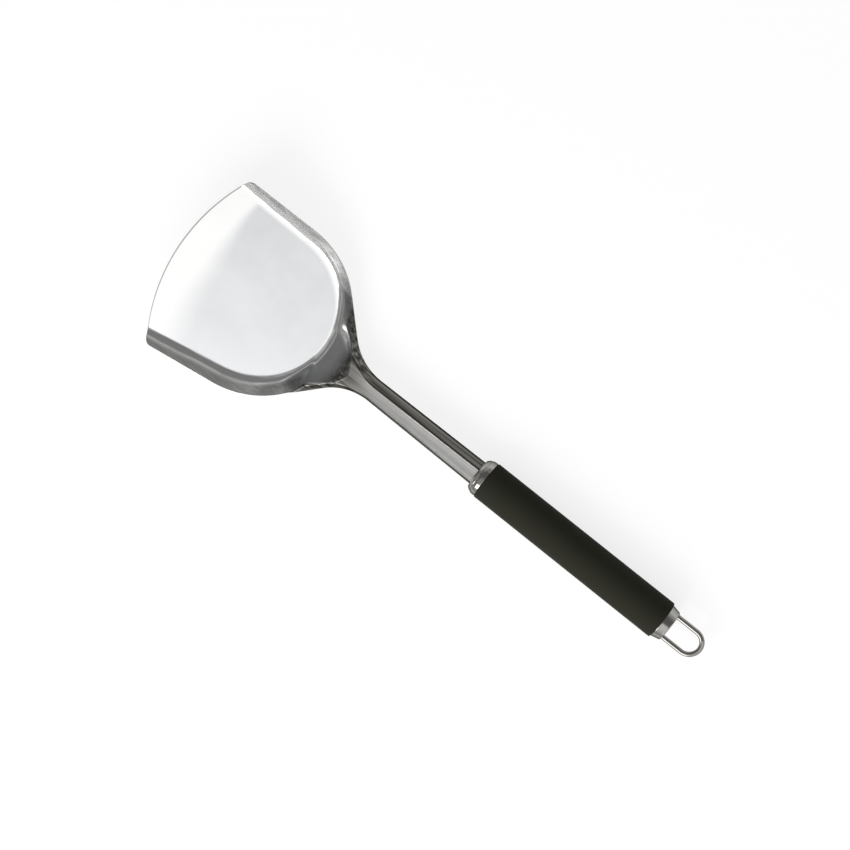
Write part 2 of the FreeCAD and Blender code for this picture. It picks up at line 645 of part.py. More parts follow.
# ---------------------------------------------------------------- hanging loop
loopX = "Sheet.grip_x + Sheet.grip_length + Sheet.cap_length - Sheet.hook_inset"
loop = addBody("hanging_loop", loopX)
path = addSketch(loop, "loop_path", "XY_Plane")
inner = size("loop_half") - size("hook_bend")
legEnd = size("hook_inset") + size("loop_straight")
bend = size("hook_bend")
wide = size("loop_half")
tipY = size("loop_half") - size("hook_length")
path.addGeometry([
    Part.LineSegment(vec(0, tipY), vec(0, inner)),
    arcBetween(vec(bend, inner), bend, vec(bend, wide), vec(0, inner)),
    Part.LineSegment(vec(bend, wide), vec(legEnd, wide)),
    arcBetween(vec(legEnd, 0), wide, vec(legEnd, -wide), vec(legEnd, wide)),
    Part.LineSegment(vec(legEnd, -wide), vec(bend, -wide)),
    arcBetween(vec(bend, -inner), bend, vec(0, -inner), vec(bend, -wide)),
    Part.LineSegment(vec(0, -inner), vec(0, -tipY)),
], False)
for pair in ((0, 2, 1, 2), (1, 1, 2, 1), (2, 2, 3, 2), (3, 1, 4, 1), (4, 2, 5, 2), (5, 1, 6, 1)):
    path.addConstraint(Sketcher.Constraint("Tangent", *pair))
for name, rule, text in (
        ("bend", Sketcher.Constraint("Radius", 1, bend), "Sheet.hook_bend"),
        ("bendTwo", Sketcher.Constraint("Radius", 5, bend), "Sheet.hook_bend"),
        ("half", Sketcher.Constraint("Radius", 3, wide), "Sheet.loop_half"),
        ("middleX", Sketcher.Constraint("DistanceX", 3, 3, legEnd),
         "Sheet.hook_inset + Sheet.loop_straight"),
        ("tipOne", Sketcher.Constraint("DistanceY", 0, 1, tipY),
         "Sheet.loop_half - Sheet.hook_length"),
):
    bind(path, path.addConstraint(rule), name, text)
path.addConstraint(Sketcher.Constraint("PointOnObject", 3, 3, -1))
path.addConstraint(Sketcher.Constraint("PointOnObject", 0, 1, -2))
path.addConstraint(Sketcher.Constraint("Symmetric", 0, 1, 6, 2, -1))
for kind, number in (("Vertical", 0), ("Horizontal", 2), ("Horizontal", 4), ("Vertical", 6)):
    path.addConstraint(Sketcher.Constraint(kind, number))
section = addSketch(loop, "wire_section", "XZ_Plane")
section.setExpression(".AttachmentOffset.Base.z", "-(Sheet.loop_half - Sheet.hook_length)")
addCircle(section, "0", "0", "Sheet.wire_radius")
doc.recompute()
wire = loop.newObject("PartDesign::AdditivePipe", "loop_wire")
wire.Profile = section
wire.Spine = (path, ["Edge%d" % (number + 1) for number in range(7)])
loop.Tip = wire

# ---------------------------------------------------------------- end plug
plug = addBody("end_plug", "Sheet.grip_x + Sheet.grip_length - Sheet.plug_length")
plugSketch = addSketch(plug, "plug_profile", "XY_Plane")
closedProfile(plugSketch, [
    ("0", "0"),
    ("0", "Sheet.tube_radius - Sheet.tube_wall - Sheet.fit_gap"),
    ("Sheet.plug_length", "Sheet.tube_radius - Sheet.tube_wall - Sheet.fit_gap"),
    ("Sheet.plug_length", "Sheet.tube_radius - Sheet.tube_wall - 0.2"),
    ("Sheet.plug_length + Sheet.cap_length - Sheet.cap_wall - Sheet.fit_gap",
     "Sheet.tube_radius - Sheet.tube_wall - 0.2"),
    ("Sheet.plug_length + Sheet.cap_length - Sheet.cap_wall - Sheet.fit_gap", "0"),
])
doc.recompute()
revolve(plug, plugSketch, "plug_body")
hookX = "Sheet.plug_length + Sheet.cap_length - Sheet.hook_inset"
clear = "(Sheet.wire_radius + Sheet.fit_gap)"
for side, name in ((1, "channel_left"), (-1, "channel_right")):
    channel = addSketch(plug, name, "XY_Plane")
    channel.setExpression(".AttachmentOffset.Base.z", "-" + clear)
    closedProfile(channel, [
        ("%s - %s" % (hookX, clear),
         "%d * (Sheet.loop_half - Sheet.hook_length - 0.1)" % side),
        ("%s + %s" % (hookX, clear),
         "%d * (Sheet.loop_half - Sheet.hook_length - 0.1)" % side),
        ("%s + %s" % (hookX, clear), "%d * (Sheet.loop_half - Sheet.hook_bend)" % side),
        ("%s + Sheet.hook_bend" % hookX, "%d * (Sheet.loop_half - %s)" % (side, clear)),
        ("Sheet.plug_length + Sheet.cap_length", "%d * (Sheet.loop_half - %s)" % (side, clear)),
        ("Sheet.plug_length + Sheet.cap_length", "%d * Sheet.cap_radius" % side),
        ("%s - %s" % (hookX, clear), "%d * Sheet.cap_radius" % side),
    ])
    doc.recompute()
    cutFrom(plug, channel, name + "_cut", "", through=True, reverse=True)
doc.recompute()

# ---------------------------------------------------------------- check and write
for item in doc.Objects:
    if "Invalid" in item.State or "Error" in item.State:
        raise RuntimeError("%s did not compute: %s" % (item.Name, item.State))
os.makedirs("parts", exist_ok=True)
for piece in (blade, ferrule, tube, grip, insert, pin, cap, plug, loop):
    shape = piece.Shape
    if shape.isNull() or not shape.isValid() or len(shape.Solids) != 1:
        raise RuntimeError("%s has no sound solid" % piece.Label)
    shape.exportStep("parts/%s.step" % piece.Label)
    print(piece.Label, round(shape.Volume, 1), "mm3")
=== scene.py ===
import math
import bmesh
import bpy
import numpy as np
from mathutils import Matrix, Vector


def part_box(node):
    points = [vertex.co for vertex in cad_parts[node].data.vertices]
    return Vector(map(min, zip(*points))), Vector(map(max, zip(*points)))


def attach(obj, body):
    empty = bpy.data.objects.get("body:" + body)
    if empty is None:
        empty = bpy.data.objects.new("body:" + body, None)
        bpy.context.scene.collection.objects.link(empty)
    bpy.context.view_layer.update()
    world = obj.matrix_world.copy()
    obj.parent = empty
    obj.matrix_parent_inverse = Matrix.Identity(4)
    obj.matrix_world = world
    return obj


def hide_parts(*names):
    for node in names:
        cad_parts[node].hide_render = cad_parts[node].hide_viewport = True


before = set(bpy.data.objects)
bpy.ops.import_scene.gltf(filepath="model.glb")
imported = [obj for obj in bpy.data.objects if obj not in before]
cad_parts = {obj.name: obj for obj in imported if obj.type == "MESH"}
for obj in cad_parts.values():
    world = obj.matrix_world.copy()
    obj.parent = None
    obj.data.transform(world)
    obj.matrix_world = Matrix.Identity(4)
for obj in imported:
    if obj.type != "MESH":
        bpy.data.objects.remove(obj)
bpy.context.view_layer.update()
mm = 0.001

gripLow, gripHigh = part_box("grip_sleeve")
ferruleLow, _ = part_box("front_ferrule")
capLow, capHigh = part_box("end_cap")
axisZ = (gripLow[2] + gripHigh[2]) / 2  # height of the handle axis over the table


def hexColour(text):
    # sRGB hex to the linear values that a shader socket wants
    parts = [int(text[i:i + 2], 16) / 255 for i in (1, 3, 5)]
    return tuple(c / 12.92 if c <= 0.04045 else ((c + 0.055) / 1.055) ** 2.4 for c in parts) + (1.0,)


def blendOver(value, start, stop):
    # smooth step, 3t^2 - 2t^3, from 0 at start to 1 at stop
    part = np.clip((value - start) / (stop - start), 0, 1)
    return part * part * (3 - 2 * part)


def softMin(a, b, blend):
    # the smaller of two heights, with their crossing rounded by a parabola as wide as the blend
    near = np.maximum(blend - np.abs(a - b), 0) / blend
    return np.minimum(a, b) - near * near * blend / 4


def gridMesh(name, points, closeU=False, closeV=False, flatEnds=False):
    # rows and columns of points joined by four-sided faces, round again where closed; flat
    # ends join each half of the first and last ring to the other half
    rows, columns = points.shape[:2]
    index = np.arange(rows * columns).reshape(rows, columns)
    faces = []
    if flatEnds:
        first = np.arange(columns // 2 - 1)
        for ring in (index[0], index[-1]):
            faces.append(np.stack([ring[first], ring[first + 1], ring[columns - 2 - first],
                                   ring[columns - 1 - first]], -1))
    if closeU:
        index = np.vstack([index, index[:1]])
    if closeV:
        index = np.hstack([index, index[:, :1]])
    sides = np.stack([index[:-1, :-1], index[1:, :-1], index[1:, 1:], index[:-1, 1:]], -1)
    faces.append(sides.reshape(-1, 4))
    quads = np.concatenate(faces)
    mesh = bpy.data.meshes.new(name)
    mesh.from_pydata(points.reshape(-1, 3), [], quads)
    piece = bpy.data.objects.new(name, mesh)
    bpy.context.scene.collection.objects.link(piece)
    return piece


def closeUp(piece):
    # welds points that lie in one place, turns all faces outwards and shades them smooth
    shape = bmesh.new()
    shape.from_mesh(piece.data)
    bmesh.ops.remove_doubles(shape, verts=shape.verts, dist=1e-7)
    bmesh.ops.recalc_face_normals(shape, faces=shape.faces)
    shape.to_mesh(piece.data)
    shape.free()
    piece.data.shade_smooth()


def finishPiece(piece, node, material):
    piece.data.materials.append(material)
    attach(piece, "root")
    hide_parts(node)
    return piece


# millimetres; places along the handle are given as distances in front of the grip
bladeForm = {
    "heelBeforeGrip": 121.5, "heelUnderAxis": 11.125, "pitch": 17.0, "thick": 1.13, "edgeRound": 0.3,
    "length": 103.6, "frontRadius": 124.0, "cornerRadius": 5.5, "floorRadius": 48.4,
    "sideSpread": 5.7, "rimWidth": 7.0, "rimSpread": 3.7, "rimSlope": 1.15, "bendBlend": 3.0,
    "webAngle": 48.0, "webRound": 32.5, "webSlope": 0.6, "webFallBefore": 118.74,
    "webEdgeBefore": 122.74, "webEdgeRise": 0.45, "webEdgeCurve": 0.004, "edgeCover": 9.0,
    "panelRadius": 13.0, "panelBefore": 118.1, "panelSteepen": 0.8, "panelEase": 0.25, "panelFull": 14.0,
    "panelFade": (18.0, 36.0),
    "neckBefore": 90.1, "neckHalf": 6.9, "neckFlare": 0.55, "neckTop": 6.9, "neckEdge": 1.05,
    "neckSlope": 1.95, "neckRound": 2.0, "ridgeBlend": 2.5, "tipBlend": 1.2, "tipBefore": 108.44,
    "tipRun": 15.0, "neckEndBefore": 2.6, "tangHalf": 3.3, "tangBehind": 28.4,
    "patchSide": 1.2, "patchFront": 15.0, "patchTurn": 10.0, "rimShadeAndDull": 0.55, "neckShadeAndDull": 0.6,
    "rootShadeAndDull": 0.35, "ridgeShadeAndDull": 2.8,
}


def makeBlade(form, material):
    # one pressed sheet: the outline of a flat blank, row by row from the front edge to the end
    # of the tang, carried onto a surface given as a height over x and y, then made thick
    gripX = gripLow[0] / mm
    axis = axisZ / mm
    heelX = gripX - form["heelBeforeGrip"]
    heelZ = axis - form["heelUnderAxis"]
    pitch = math.radians(form["pitch"])
    side = math.radians(form["sideSpread"])
    spread = math.radians(form["rimSpread"])
    webAngle = math.radians(form["webAngle"])
    flare = math.radians(form["neckFlare"])
    neckTop = axis + form["neckTop"]
    neckEdge = axis + form["neckEdge"]
    webEdgeX = gripX - form["webEdgeBefore"]
    webFallX = gripX - form["webFallBefore"]
    neckX = gripX - form["neckBefore"]
    panelX = gripX - form["panelBefore"]
    tipX = gripX - form["tipBefore"]
    backCentre = form["length"] - form["floorRadius"]
    backRadius = form["floorRadius"] + form["rimWidth"]

    def blankPlace(x, z):
        # distance from the front edge, measured along the tilted floor
        return form["length"] - (heelX - x) * math.cos(pitch) - (z - heelZ) * math.sin(pitch)

    # joints of the flat outline: rim line, back arc, web line, hollow corner, neck line
    rimNormal = np.array([math.sin(spread), math.cos(spread)])
    rimBack = np.array([backCentre, 0.0]) + rimNormal * backRadius
    inner = rimBack - rimNormal * form["cornerRadius"]
    forward = np.array([-math.cos(spread), math.sin(spread)])
    offset = inner - np.array([form["frontRadius"], 0.0])
    half = offset @ forward
    inside = form["frontRadius"] - form["cornerRadius"]
    run = -half + math.sqrt(half ** 2 - offset @ offset + inside ** 2)
    corner = inner + forward * run
    rimFront = corner + rimNormal * form["cornerRadius"]
    outward = corner - np.array([form["frontRadius"], 0.0])
    frontCorner = corner + outward * (form["cornerRadius"] / np.linalg.norm(outward))
    webNormal = np.array([math.sin(webAngle), math.cos(webAngle)])
    webFront = np.array([backCentre, 0.0]) + webNormal * backRadius
    stepPlace = blankPlace(gripX - form["neckEndBefore"], neckTop)
    tangPlace = blankPlace(gripX + form["tangBehind"], neckTop)
    stepHalf = form["neckHalf"] + (stepPlace - blankPlace(neckX, neckEdge)) * math.tan(flare)
    neckNormal = np.array([-math.sin(flare), math.cos(flare)])
    webRun = np.array([math.cos(webAngle), -math.sin(webAngle)])
    neckRun = np.array([-math.cos(flare), -math.sin(flare)])
    webPoint = webFront + webNormal * form["webRound"]
    gap = np.array([stepPlace, stepHalf]) + neckNormal * form["webRound"] - webPoint
    cross = webRun[0] * neckRun[1] - webRun[1] * neckRun[0]
    hollow = webPoint + webRun * ((gap[0] * neckRun[1] - gap[1] * neckRun[0]) / cross)
    webBack = hollow - webNormal * form["webRound"]
    neckFront = hollow - neckNormal * form["webRound"]

    def edgeHalf(place):
        # half width of the flat blank: line, arc, line, hollow arc and line in turn
        arc = np.sqrt(np.maximum(backRadius ** 2 - (place - backCentre) ** 2, 0))
        dip = hollow[1] - np.sqrt(np.maximum(form["webRound"] ** 2 - (place - hollow[0]) ** 2, 0))
        return np.select(
            [place < rimBack[0], place < webFront[0], place < webBack[0], place < neckFront[0]],
            [rimBack[1] + (rimBack[0] - place) * math.tan(spread), arc,
             webFront[1] - (place - webFront[0]) * math.tan(webAngle), dip],
            neckFront[1] + (place - neckFront[0]) * math.tan(flare))

    def floorLevel(x):
        return heelZ + (heelX - x) * math.tan(pitch)

    def beyondFloor(x, y):
        # distance outside the edge of the flat floor: a round back, then straight sides
        fromCentre = (heelX - x) / math.cos(pitch) - form["floorRadius"]
        roundPart = np.hypot(fromCentre, y) - form["floorRadius"]
        linePart = y * math.cos(side) - fromCentre * math.sin(side) - form["floorRadius"]
        return np.where(fromCentre < -math.tan(side) * y, roundPart, linePart)

    def heights(x, y):
        # three heights over one another: floor with its rising rims and the panel behind it,
        # outer faces that fall to the edge of the blank, and the flat top of the neck
        y = np.abs(y)
        beyond = beyondFloor(x, y)
        rims = floorLevel(x) - softMin(0 * x, -form["rimSlope"] * beyond, form["bendBlend"])
        behind = np.hypot(x - panelX, y) - form["panelRadius"]
        behind = -softMin(0 * x, -softMin(beyond, behind, 2.0), 3.0)
        share = (1 + form["panelEase"]) * blendOver(y, 0, form["panelFull"]) - form["panelEase"]
        share = share * (1 - blendOver(y, *form["panelFade"]))
        rims = rims + form["panelSteepen"] * behind * share
        before = np.maximum(webEdgeX - x, 0)
        edgeLevel = neckEdge + form["webEdgeRise"] * before + form["webEdgeCurve"] * before ** 2
        cover = np.maximum(neckEdge, floorLevel(x) + form["edgeCover"])
        fall = form["webSlope"] + (form["neckSlope"] - form["webSlope"]) * blendOver(x, webFallX, neckX)
        outer = edgeLevel + fall * (edgeHalf(blankPlace(x, np.minimum(edgeLevel, cover))) - y)
        return rims, outer, neckTop + before, fall

    def level(x, y):
        # height of the upper face: the lowest of the three, the neck's bend a true arc
        rims, outer, ridge, fall = heights(x, y)
        radius = form["neckRound"]
        angle = np.arctan(fall)
        past = radius * np.tan(angle / 2) - (outer - ridge) / fall
        bent = ridge - radius + np.sqrt(np.maximum(radius ** 2 - past ** 2, 0))
        top = np.where(past <= 0, ridge, np.where(past < radius * np.sin(angle), bent, outer))
        blend = form["ridgeBlend"] + (form["tipBlend"] - form["ridgeBlend"]) * blendOver(
            x, tipX, tipX + form["tipRun"])
        return softMin(top, rims, blend)

    # one ring round the sheet per row: upper face, rounded edge, lower face, rounded edge;
    # inset is the distance from the outline and depth the share of the thickness
    edge = form["edgeRound"]
    across = np.linspace(-1, 1, 173)
    across = 0.55 * across + 0.45 * np.sin(across * math.pi / 2)
    edgeInset = np.array([0.3, 0.0, 0.0, 0.3]) * edge
    edgeDepth = np.array([0.075, 0.25, 0.75, 0.925])
    ones = np.ones(4)
    ringAcross = np.concatenate([across, ones, across[::-1], -ones])
    ringInset = np.concatenate([edge + 0 * across, edgeInset, edge + 0 * across, edgeInset])
    ringDepth = np.concatenate([0 * across, edgeDepth, 1 + 0 * across, edgeDepth[::-1]])
    webRow, neckRow, stepRun = 84, 140, 0.4  # places where the rows change their spacing
    rowPlace = np.concatenate([
        np.array([0.0, 0.3, 1.0]) * edge, np.linspace(1.0, webRow, 48, endpoint=False),
        np.linspace(webRow, neckRow, 118, endpoint=False),
        np.linspace(neckRow, stepPlace - stepRun, 40, endpoint=False),
        np.linspace(stepPlace - stepRun, stepPlace + stepRun, 6, endpoint=False),
        np.linspace(stepPlace + stepRun, tangPlace, 10)])
    # the first rows are drawn together into a rounded front edge
    squeeze = np.zeros(len(rowPlace))
    squeeze[:2] = 0.25, 0.075
    depth = squeeze[:, None] + (1 - 2 * squeeze[:, None]) * ringDepth
    frontY = np.abs(ringAcross) * (rimFront[1] - ringInset)
    arcPlace = form["frontRadius"] - np.sqrt(form["frontRadius"] ** 2 - frontY ** 2)
    cornerDip = np.sqrt(np.maximum(form["cornerRadius"] ** 2 - (frontY - corner[1]) ** 2, 0))
    cornerPlace = corner[0] - cornerDip
    frontPlace = np.where(frontY < frontCorner[1], arcPlace, cornerPlace)
    keep = (1 - np.clip(rowPlace / webRow, 0, 1)) ** 1.5  # share of the front's sweep in each row
    place = rowPlace[:, None] + frontPlace * keep[:, None]
    halfWidth = edgeHalf(np.maximum(place, rimFront[0]))
    narrowed = blendOver(place, stepPlace - stepRun, stepPlace + stepRun)
    halfWidth = halfWidth + (form["tangHalf"] - halfWidth) * narrowed
    y = ringAcross * (halfWidth - ringInset)

    # each point of the blank is carried along the floor's normal until it meets the form
    lift = np.zeros_like(place)
    for _ in range(12):
        x = heelX - (form["length"] - place) * math.cos(pitch) + lift * math.sin(pitch)
        z = heelZ + (form["length"] - place) * math.sin(pitch) + lift * math.cos(pitch)
        slopeX = (level(x + 0.02, y) - level(x - 0.02, y)) / 0.04
        lift = lift + (level(x, y) - z) / (math.cos(pitch) - slopeX * math.sin(pitch))
    x = heelX - (form["length"] - place) * math.cos(pitch) + lift * math.sin(pitch)
    z = level(x, y)
    slopeX = (level(x + 0.05, y) - level(x - 0.05, y)) / 0.1
    slopeY = (level(x, y + 0.05) - level(x, y - 0.05)) / 0.1
    # thickness down the floor's normal: sheet thickness over the cosine between the normals
    cosine = (math.cos(pitch) - slopeX * math.sin(pitch)) / np.sqrt(1 + slopeX ** 2 + slopeY ** 2)
    drop = depth * form["thick"] / np.maximum(cosine, 0.3)
    points = np.stack([x - drop * math.sin(pitch), y, z - drop * math.cos(pitch)], -1) * mm
    piece = gridMesh("bladeSheet", points, closeV=True, flatEnds=True)

    rims, outer, ridge, _ = heights(x, y)
    pressed = blendOver(np.abs(slopeX + math.tan(pitch)) + np.abs(slopeY), 0.05, 0.6)
    # outer faces of web and neck, on the neck together with the bend above them, and the ridges by the
    # panel tip: a mask of painted shade that darkens them and dulls their reflection
    under = np.minimum(rims, ridge) - outer + 2.4 * blendOver(x, neckX - 14, neckX - 2)
    under = under + form["ridgeShadeAndDull"] * (1 - blendOver(x, tipX - 12, tipX))
    flankShadeAndDull = blendOver(under, 0.2, 1.2) * blendOver(x, webEdgeX - 8, webEdgeX + 6)
    # rims and the top of the neck take a weaker share of the same painted shade, which is
    # stronger again where the neck runs out into the web
    besidePanel = np.maximum(1 - blendOver(x, webEdgeX - 6, webEdgeX + 4), blendOver(np.abs(y), 16, 24))
    rimShadeShare = blendOver(beyondFloor(x, np.abs(y)), 1.5, 4.0) * besidePanel
    flankShadeAndDull = np.maximum(flankShadeAndDull, form["rimShadeAndDull"] * rimShadeShare)
    neckShadeShare = form["neckShadeAndDull"] + form["rootShadeAndDull"] * (1 - blendOver(x, tipX + 8, tipX + 30))
    flankShadeAndDull = np.maximum(flankShadeAndDull, neckShadeShare * blendOver(x, tipX - 6, tipX + 6))
    # brushed patch of the floor, hazier and painted a shade greyer: it stops short of the bends and fades
    # towards the front edge
    inward = -beyondFloor(x, np.abs(y + form["patchSide"]))
    fromFront = place - frontPlace * keep[:, None] - form["patchFront"]
    fromFront = fromFront - form["patchTurn"] * np.minimum(y, 0) / form["floorRadius"]
    brushedAndShaded = blendOver(inward, 1.2, 4.2) * blendOver(fromFront, 0, 17 - 12 * y / form["floorRadius"])
    satin = blendOver(x, tipX, tipX + 20)  # the neck is drawn, not polished
    for name, values in (("pressed", pressed), ("flankShadeAndDull", flankShadeAndDull), ("brushedAndShaded", brushedAndShaded), ("satin", satin)):
        piece.data.attributes.new(name, "FLOAT", "POINT").data.foreach_set(
            "value", np.ascontiguousarray(values, dtype=np.float32).ravel())
    closeUp(piece)
    return finishPiece(piece, "blade", material)


def turned(name, profile, startX):
    # a closed profile of (x, radius) turned about the handle axis
    profile = np.asarray(profile, dtype=float)
    angle = np.linspace(0, 2 * math.pi, 128, endpoint=False)
    x = startX + profile[:, :1] * mm + 0 * angle
    y = profile[:, 1:] * mm * np.sin(angle)
    z = axisZ + profile[:, 1:] * mm * np.cos(angle)
    piece = gridMesh(name, np.stack([x, y, z], -1), closeU=True, closeV=True)
    closeUp(piece)
    return piece


def arcPoints(centre, radius, start, stop, count):
    # points of an arc from one angle to another, in degrees
    angle = np.radians(np.linspace(start, stop, count))
    return [(centre[0] + radius * math.cos(a), centre[1] + radius * math.sin(a)) for a in angle]


def newMaterial(name):
    material = bpy.data.materials.new(name)
    material.use_nodes = True
    tree = material.node_tree
    tree.nodes.clear()
    return material, tree


def addNode(tree, kind, settings=None, inputs=None):
    # one node with its settings, fixed inputs and links
    node = tree.nodes.new(kind)
    for key, value in (settings or {}).items():
        setattr(node, key, value)
    for key, value in (inputs or {}).items():
        # a Mix node has several sockets of one name, so the one in use is taken
        socket = node.inputs[key] if isinstance(key, int) else [
            item for item in node.inputs if item.name == key and item.enabled][0]
        if isinstance(value, bpy.types.NodeSocket):
            tree.links.new(value, socket)
        else:
            socket.default_value = value
    return node


sheetForm = {"dent": 11.0, "dentDepth": 0.38, "streak": 0.7,
             "rough": (0.11, 0.16), "patchRough": 0.1, "flankRough": 0.2, "satinRough": 0.19,
             "bright": "#E9E9E8", "shadedPatch": "#C9CACC", "streakShadeDark": "#3C3B37", "streakShadePale": "#85837E"}


def sheetMaterial(form):
    # polished pressed stainless sheet: a near mirror with a soft haze; a cloudy brushed patch hazes the
    # floor and is painted a shade greyer, shallow dents from the press break up the bends, and the
    # turned-down faces, rims and neck top are painted dark in streaks along the handle, a painted shade,
    # their reflection dulled and its edges darkened
    material, tree = newMaterial("stainlessSheetPolished")
    spot = addNode(tree, "ShaderNodeTexCoord").outputs["Object"]
    pressed, flankShadeAndDull, brushedAndShaded, satin = (
        addNode(tree, "ShaderNodeAttribute", {"attribute_name": name}).outputs["Fac"]
        for name in ("pressed", "flankShadeAndDull", "brushedAndShaded", "satin"))
    dents = addNode(tree, "ShaderNodeTexNoise", inputs={
        "Vector": spot, "Scale": 1 / (form["dent"] * mm), "Detail": 1.5})
    fine = addNode(tree, "ShaderNodeTexNoise", inputs={"Vector": spot, "Scale": 1500.0, "Detail": 2.0})
    cloud = addNode(tree, "ShaderNodeTexNoise", inputs={"Vector": spot, "Scale": 32.0, "Detail": 4.0})
    long = addNode(tree, "ShaderNodeMapping", inputs={
        "Vector": spot, "Scale": (9, 0.7 / (form["streak"] * mm), 0.7 / (form["streak"] * mm))})
    streaks = addNode(tree, "ShaderNodeTexNoise", inputs={
        "Vector": long.outputs["Vector"], "Scale": 0.6, "Detail": 2.0})
    dentHeight = addNode(tree, "ShaderNodeMath", {"operation": "MULTIPLY"}, {
        0: dents.outputs["Fac"], 1: pressed})
    dentBump = addNode(tree, "ShaderNodeBump", inputs={
        "Height": dentHeight.outputs[0], "Strength": 1.0, "Distance": form["dentDepth"] * mm})
    fineBump = addNode(tree, "ShaderNodeBump", inputs={
        "Height": fine.outputs["Fac"], "Strength": 0.25, "Distance": 0.00001,
        "Normal": dentBump.outputs["Normal"]})
    haze = addNode(tree, "ShaderNodeMapRange", inputs={
        "Value": cloud.outputs["Fac"], "From Min": 0.3, "From Max": 0.7,
        "To Min": form["rough"][0], "To Max": form["rough"][1]})
    polish = addNode(tree, "ShaderNodeMath", {"operation": "MULTIPLY_ADD"}, {
        0: brushedAndShaded, 1: form["patchRough"], 2: haze.outputs["Result"]})
    worn = addNode(tree, "ShaderNodeMath", {"operation": "MULTIPLY_ADD"}, {
        0: flankShadeAndDull, 1: form["flankRough"], 2: polish.outputs[0]})
    dull = addNode(tree, "ShaderNodeMath", {"operation": "MULTIPLY_ADD"}, {
        0: satin, 1: form["satinRough"], 2: worn.outputs[0]})
    # dark and pale streak colours for the flank mask: painted shade broken into streaks
    contrast = addNode(tree, "ShaderNodeMapRange", inputs={
        "Value": streaks.outputs["Fac"], "From Min": 0.38, "From Max": 0.62})
    streakShadeColour = addNode(tree, "ShaderNodeMix", {"data_type": "RGBA"}, {
        "A": hexColour(form["streakShadeDark"]), "B": hexColour(form["streakShadePale"]),
        "Factor": contrast.outputs["Result"]})
    # the floor patch is painted a shade greyer, more in some clouds than in others
    patchiness = addNode(tree, "ShaderNodeMapRange", inputs={
        "Value": cloud.outputs["Fac"], "From Min": 0.35, "From Max": 0.65,
        "To Min": 0.75, "To Max": 1.0})
    shadedPatch = addNode(tree, "ShaderNodeMath", {"operation": "MULTIPLY"}, {
        0: brushedAndShaded, 1: patchiness.outputs["Result"]})
    bright = addNode(tree, "ShaderNodeMix", {"data_type": "RGBA"}, {
        "A": hexColour(form["bright"]), "B": hexColour(form["shadedPatch"]), "Factor": shadedPatch.outputs[0]})
    # the flank mask lays this painted shade over the bright steel
    colour = addNode(tree, "ShaderNodeMix", {"data_type": "RGBA"}, {
        "A": bright.outputs[2], "B": streakShadeColour.outputs[2], "Factor": flankShadeAndDull})
    # and darkens the reflection's glancing edges there, also painted shade
    edgeShadeTint = addNode(tree, "ShaderNodeMix", {"data_type": "RGBA"}, {
        "A": (1, 1, 1, 1), "B": hexColour("#6A6A68"), "Factor": flankShadeAndDull})
    shader = addNode(tree, "ShaderNodeBsdfPrincipled", inputs={
        "Base Color": colour.outputs[2], "Metallic": 1.0, "Roughness": dull.outputs[0],
        "Specular Tint": edgeShadeTint.outputs[2],
        "Normal": fineBump.outputs["Normal"]})
    addNode(tree, "ShaderNodeOutputMaterial", inputs={"Surface": shader.outputs["BSDF"]})
    return material


def steelMaterial(name, colour, rough):
    # bright machined stainless: nearly a mirror, its haze slightly cloudy from handling and its
    # far edges a little darker, a painted shade tinted into their reflection
    material, tree = newMaterial(name)
    spot = addNode(tree, "ShaderNodeTexCoord").outputs["Object"]
    cloud = addNode(tree, "ShaderNodeTexNoise", inputs={"Vector": spot, "Scale": 140.0, "Detail": 4.0})
    grain = addNode(tree, "ShaderNodeTexNoise", inputs={"Vector": spot, "Scale": 1800.0, "Detail": 3.0})
    haze = addNode(tree, "ShaderNodeMapRange", inputs={
        "Value": cloud.outputs["Fac"], "From Min": 0.3, "From Max": 0.7,
        "To Min": rough * 0.7, "To Max": rough * 1.4})
    tint = addNode(tree, "ShaderNodeMix", {"data_type": "RGBA"}, {
        "A": hexColour(colour), "B": hexColour("#A5A39F"), "Factor": cloud.outputs["Fac"]})
    bump = addNode(tree, "ShaderNodeBump", inputs={
        "Height": grain.outputs["Fac"], "Strength": 0.3, "Distance": 0.00001})
    # the dark specular tint is painted shade at the glancing edges
    shader = addNode(tree, "ShaderNodeBsdfPrincipled", inputs={
        "Base Color": tint.outputs[2], "Metallic": 1.0, "Roughness": haze.outputs["Result"],
        "Specular Tint": hexColour("#6E6D6B"), "Normal": bump.outputs["Normal"]})
    addNode(tree, "ShaderNodeOutputMaterial", inputs={"Surface": shader.outputs["BSDF"]})
    return material


def rubberMaterial(name, colour, worn):
    # matt moulded rubber or nylon: a dense fine grain, paler and smoother where it is handled
    material, tree = newMaterial(name)
    spot = addNode(tree, "ShaderNodeTexCoord").outputs["Object"]
    fine = addNode(tree, "ShaderNodeTexNoise", inputs={"Vector": spot, "Scale": 2600.0, "Detail": 2.0})
    cloud = addNode(tree, "ShaderNodeTexNoise", inputs={"Vector": spot, "Scale": 60.0, "Detail": 3.0})
    rough = addNode(tree, "ShaderNodeMapRange", inputs={
        "Value": cloud.outputs["Fac"], "From Min": 0.3, "From Max": 0.7, "To Min": 0.7, "To Max": 0.84})
    tint = addNode(tree, "ShaderNodeMix", {"data_type": "RGBA"}, {
        "A": hexColour(colour), "B": hexColour(worn), "Factor": cloud.outputs["Fac"]})
    bump = addNode(tree, "ShaderNodeBump", inputs={
        "Height": fine.outputs["Fac"], "Strength": 0.35, "Distance": 0.00008})
    shader = addNode(tree, "ShaderNodeBsdfPrincipled", inputs={
        "Base Color": tint.outputs[2], "Roughness": rough.outputs["Result"],
        "Specular IOR Level": 0.14, "Normal": bump.outputs["Normal"]})
    addNode(tree, "ShaderNodeOutputMaterial", inputs={"Surface": shader.outputs["BSDF"]})
    return material


